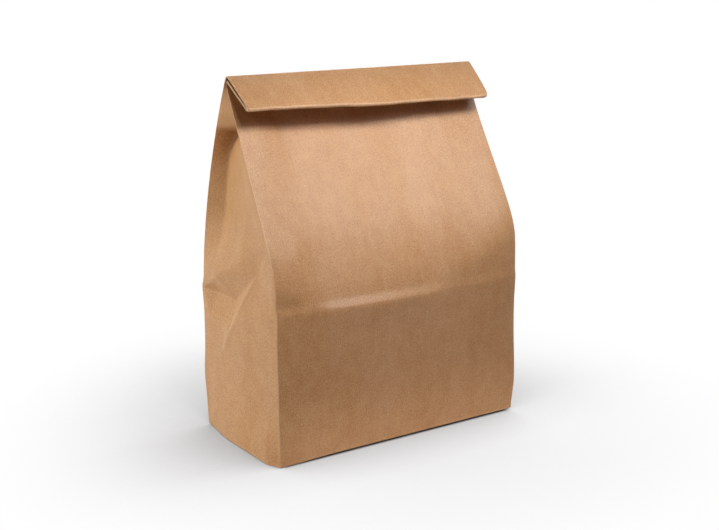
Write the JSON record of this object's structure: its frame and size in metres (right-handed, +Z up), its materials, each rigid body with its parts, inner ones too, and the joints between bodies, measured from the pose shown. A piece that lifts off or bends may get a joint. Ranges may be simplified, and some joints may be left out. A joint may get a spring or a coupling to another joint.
{
  "type": "paper bag",
  "caption": "Plain brown block-bottom paper bag that stands closed, its sides tucked in and its mouth rolled over to the front.",
  "frame": {"origin": "centre of the base, on the surface that the bag stands on", "axes": "+Z up from the base, +X to the right across the front panel, -Y out of the front panel, to which the mouth is rolled"},
  "size_m": [0.2232, 0.1164, 0.277],
  "materials": {
    "kraft_paper": "uncoated brown kraft paper, matt"
  },
  "bodies": {
    "root": {"paper_bag": "kraft_paper"}
  },
  "joints": []
}
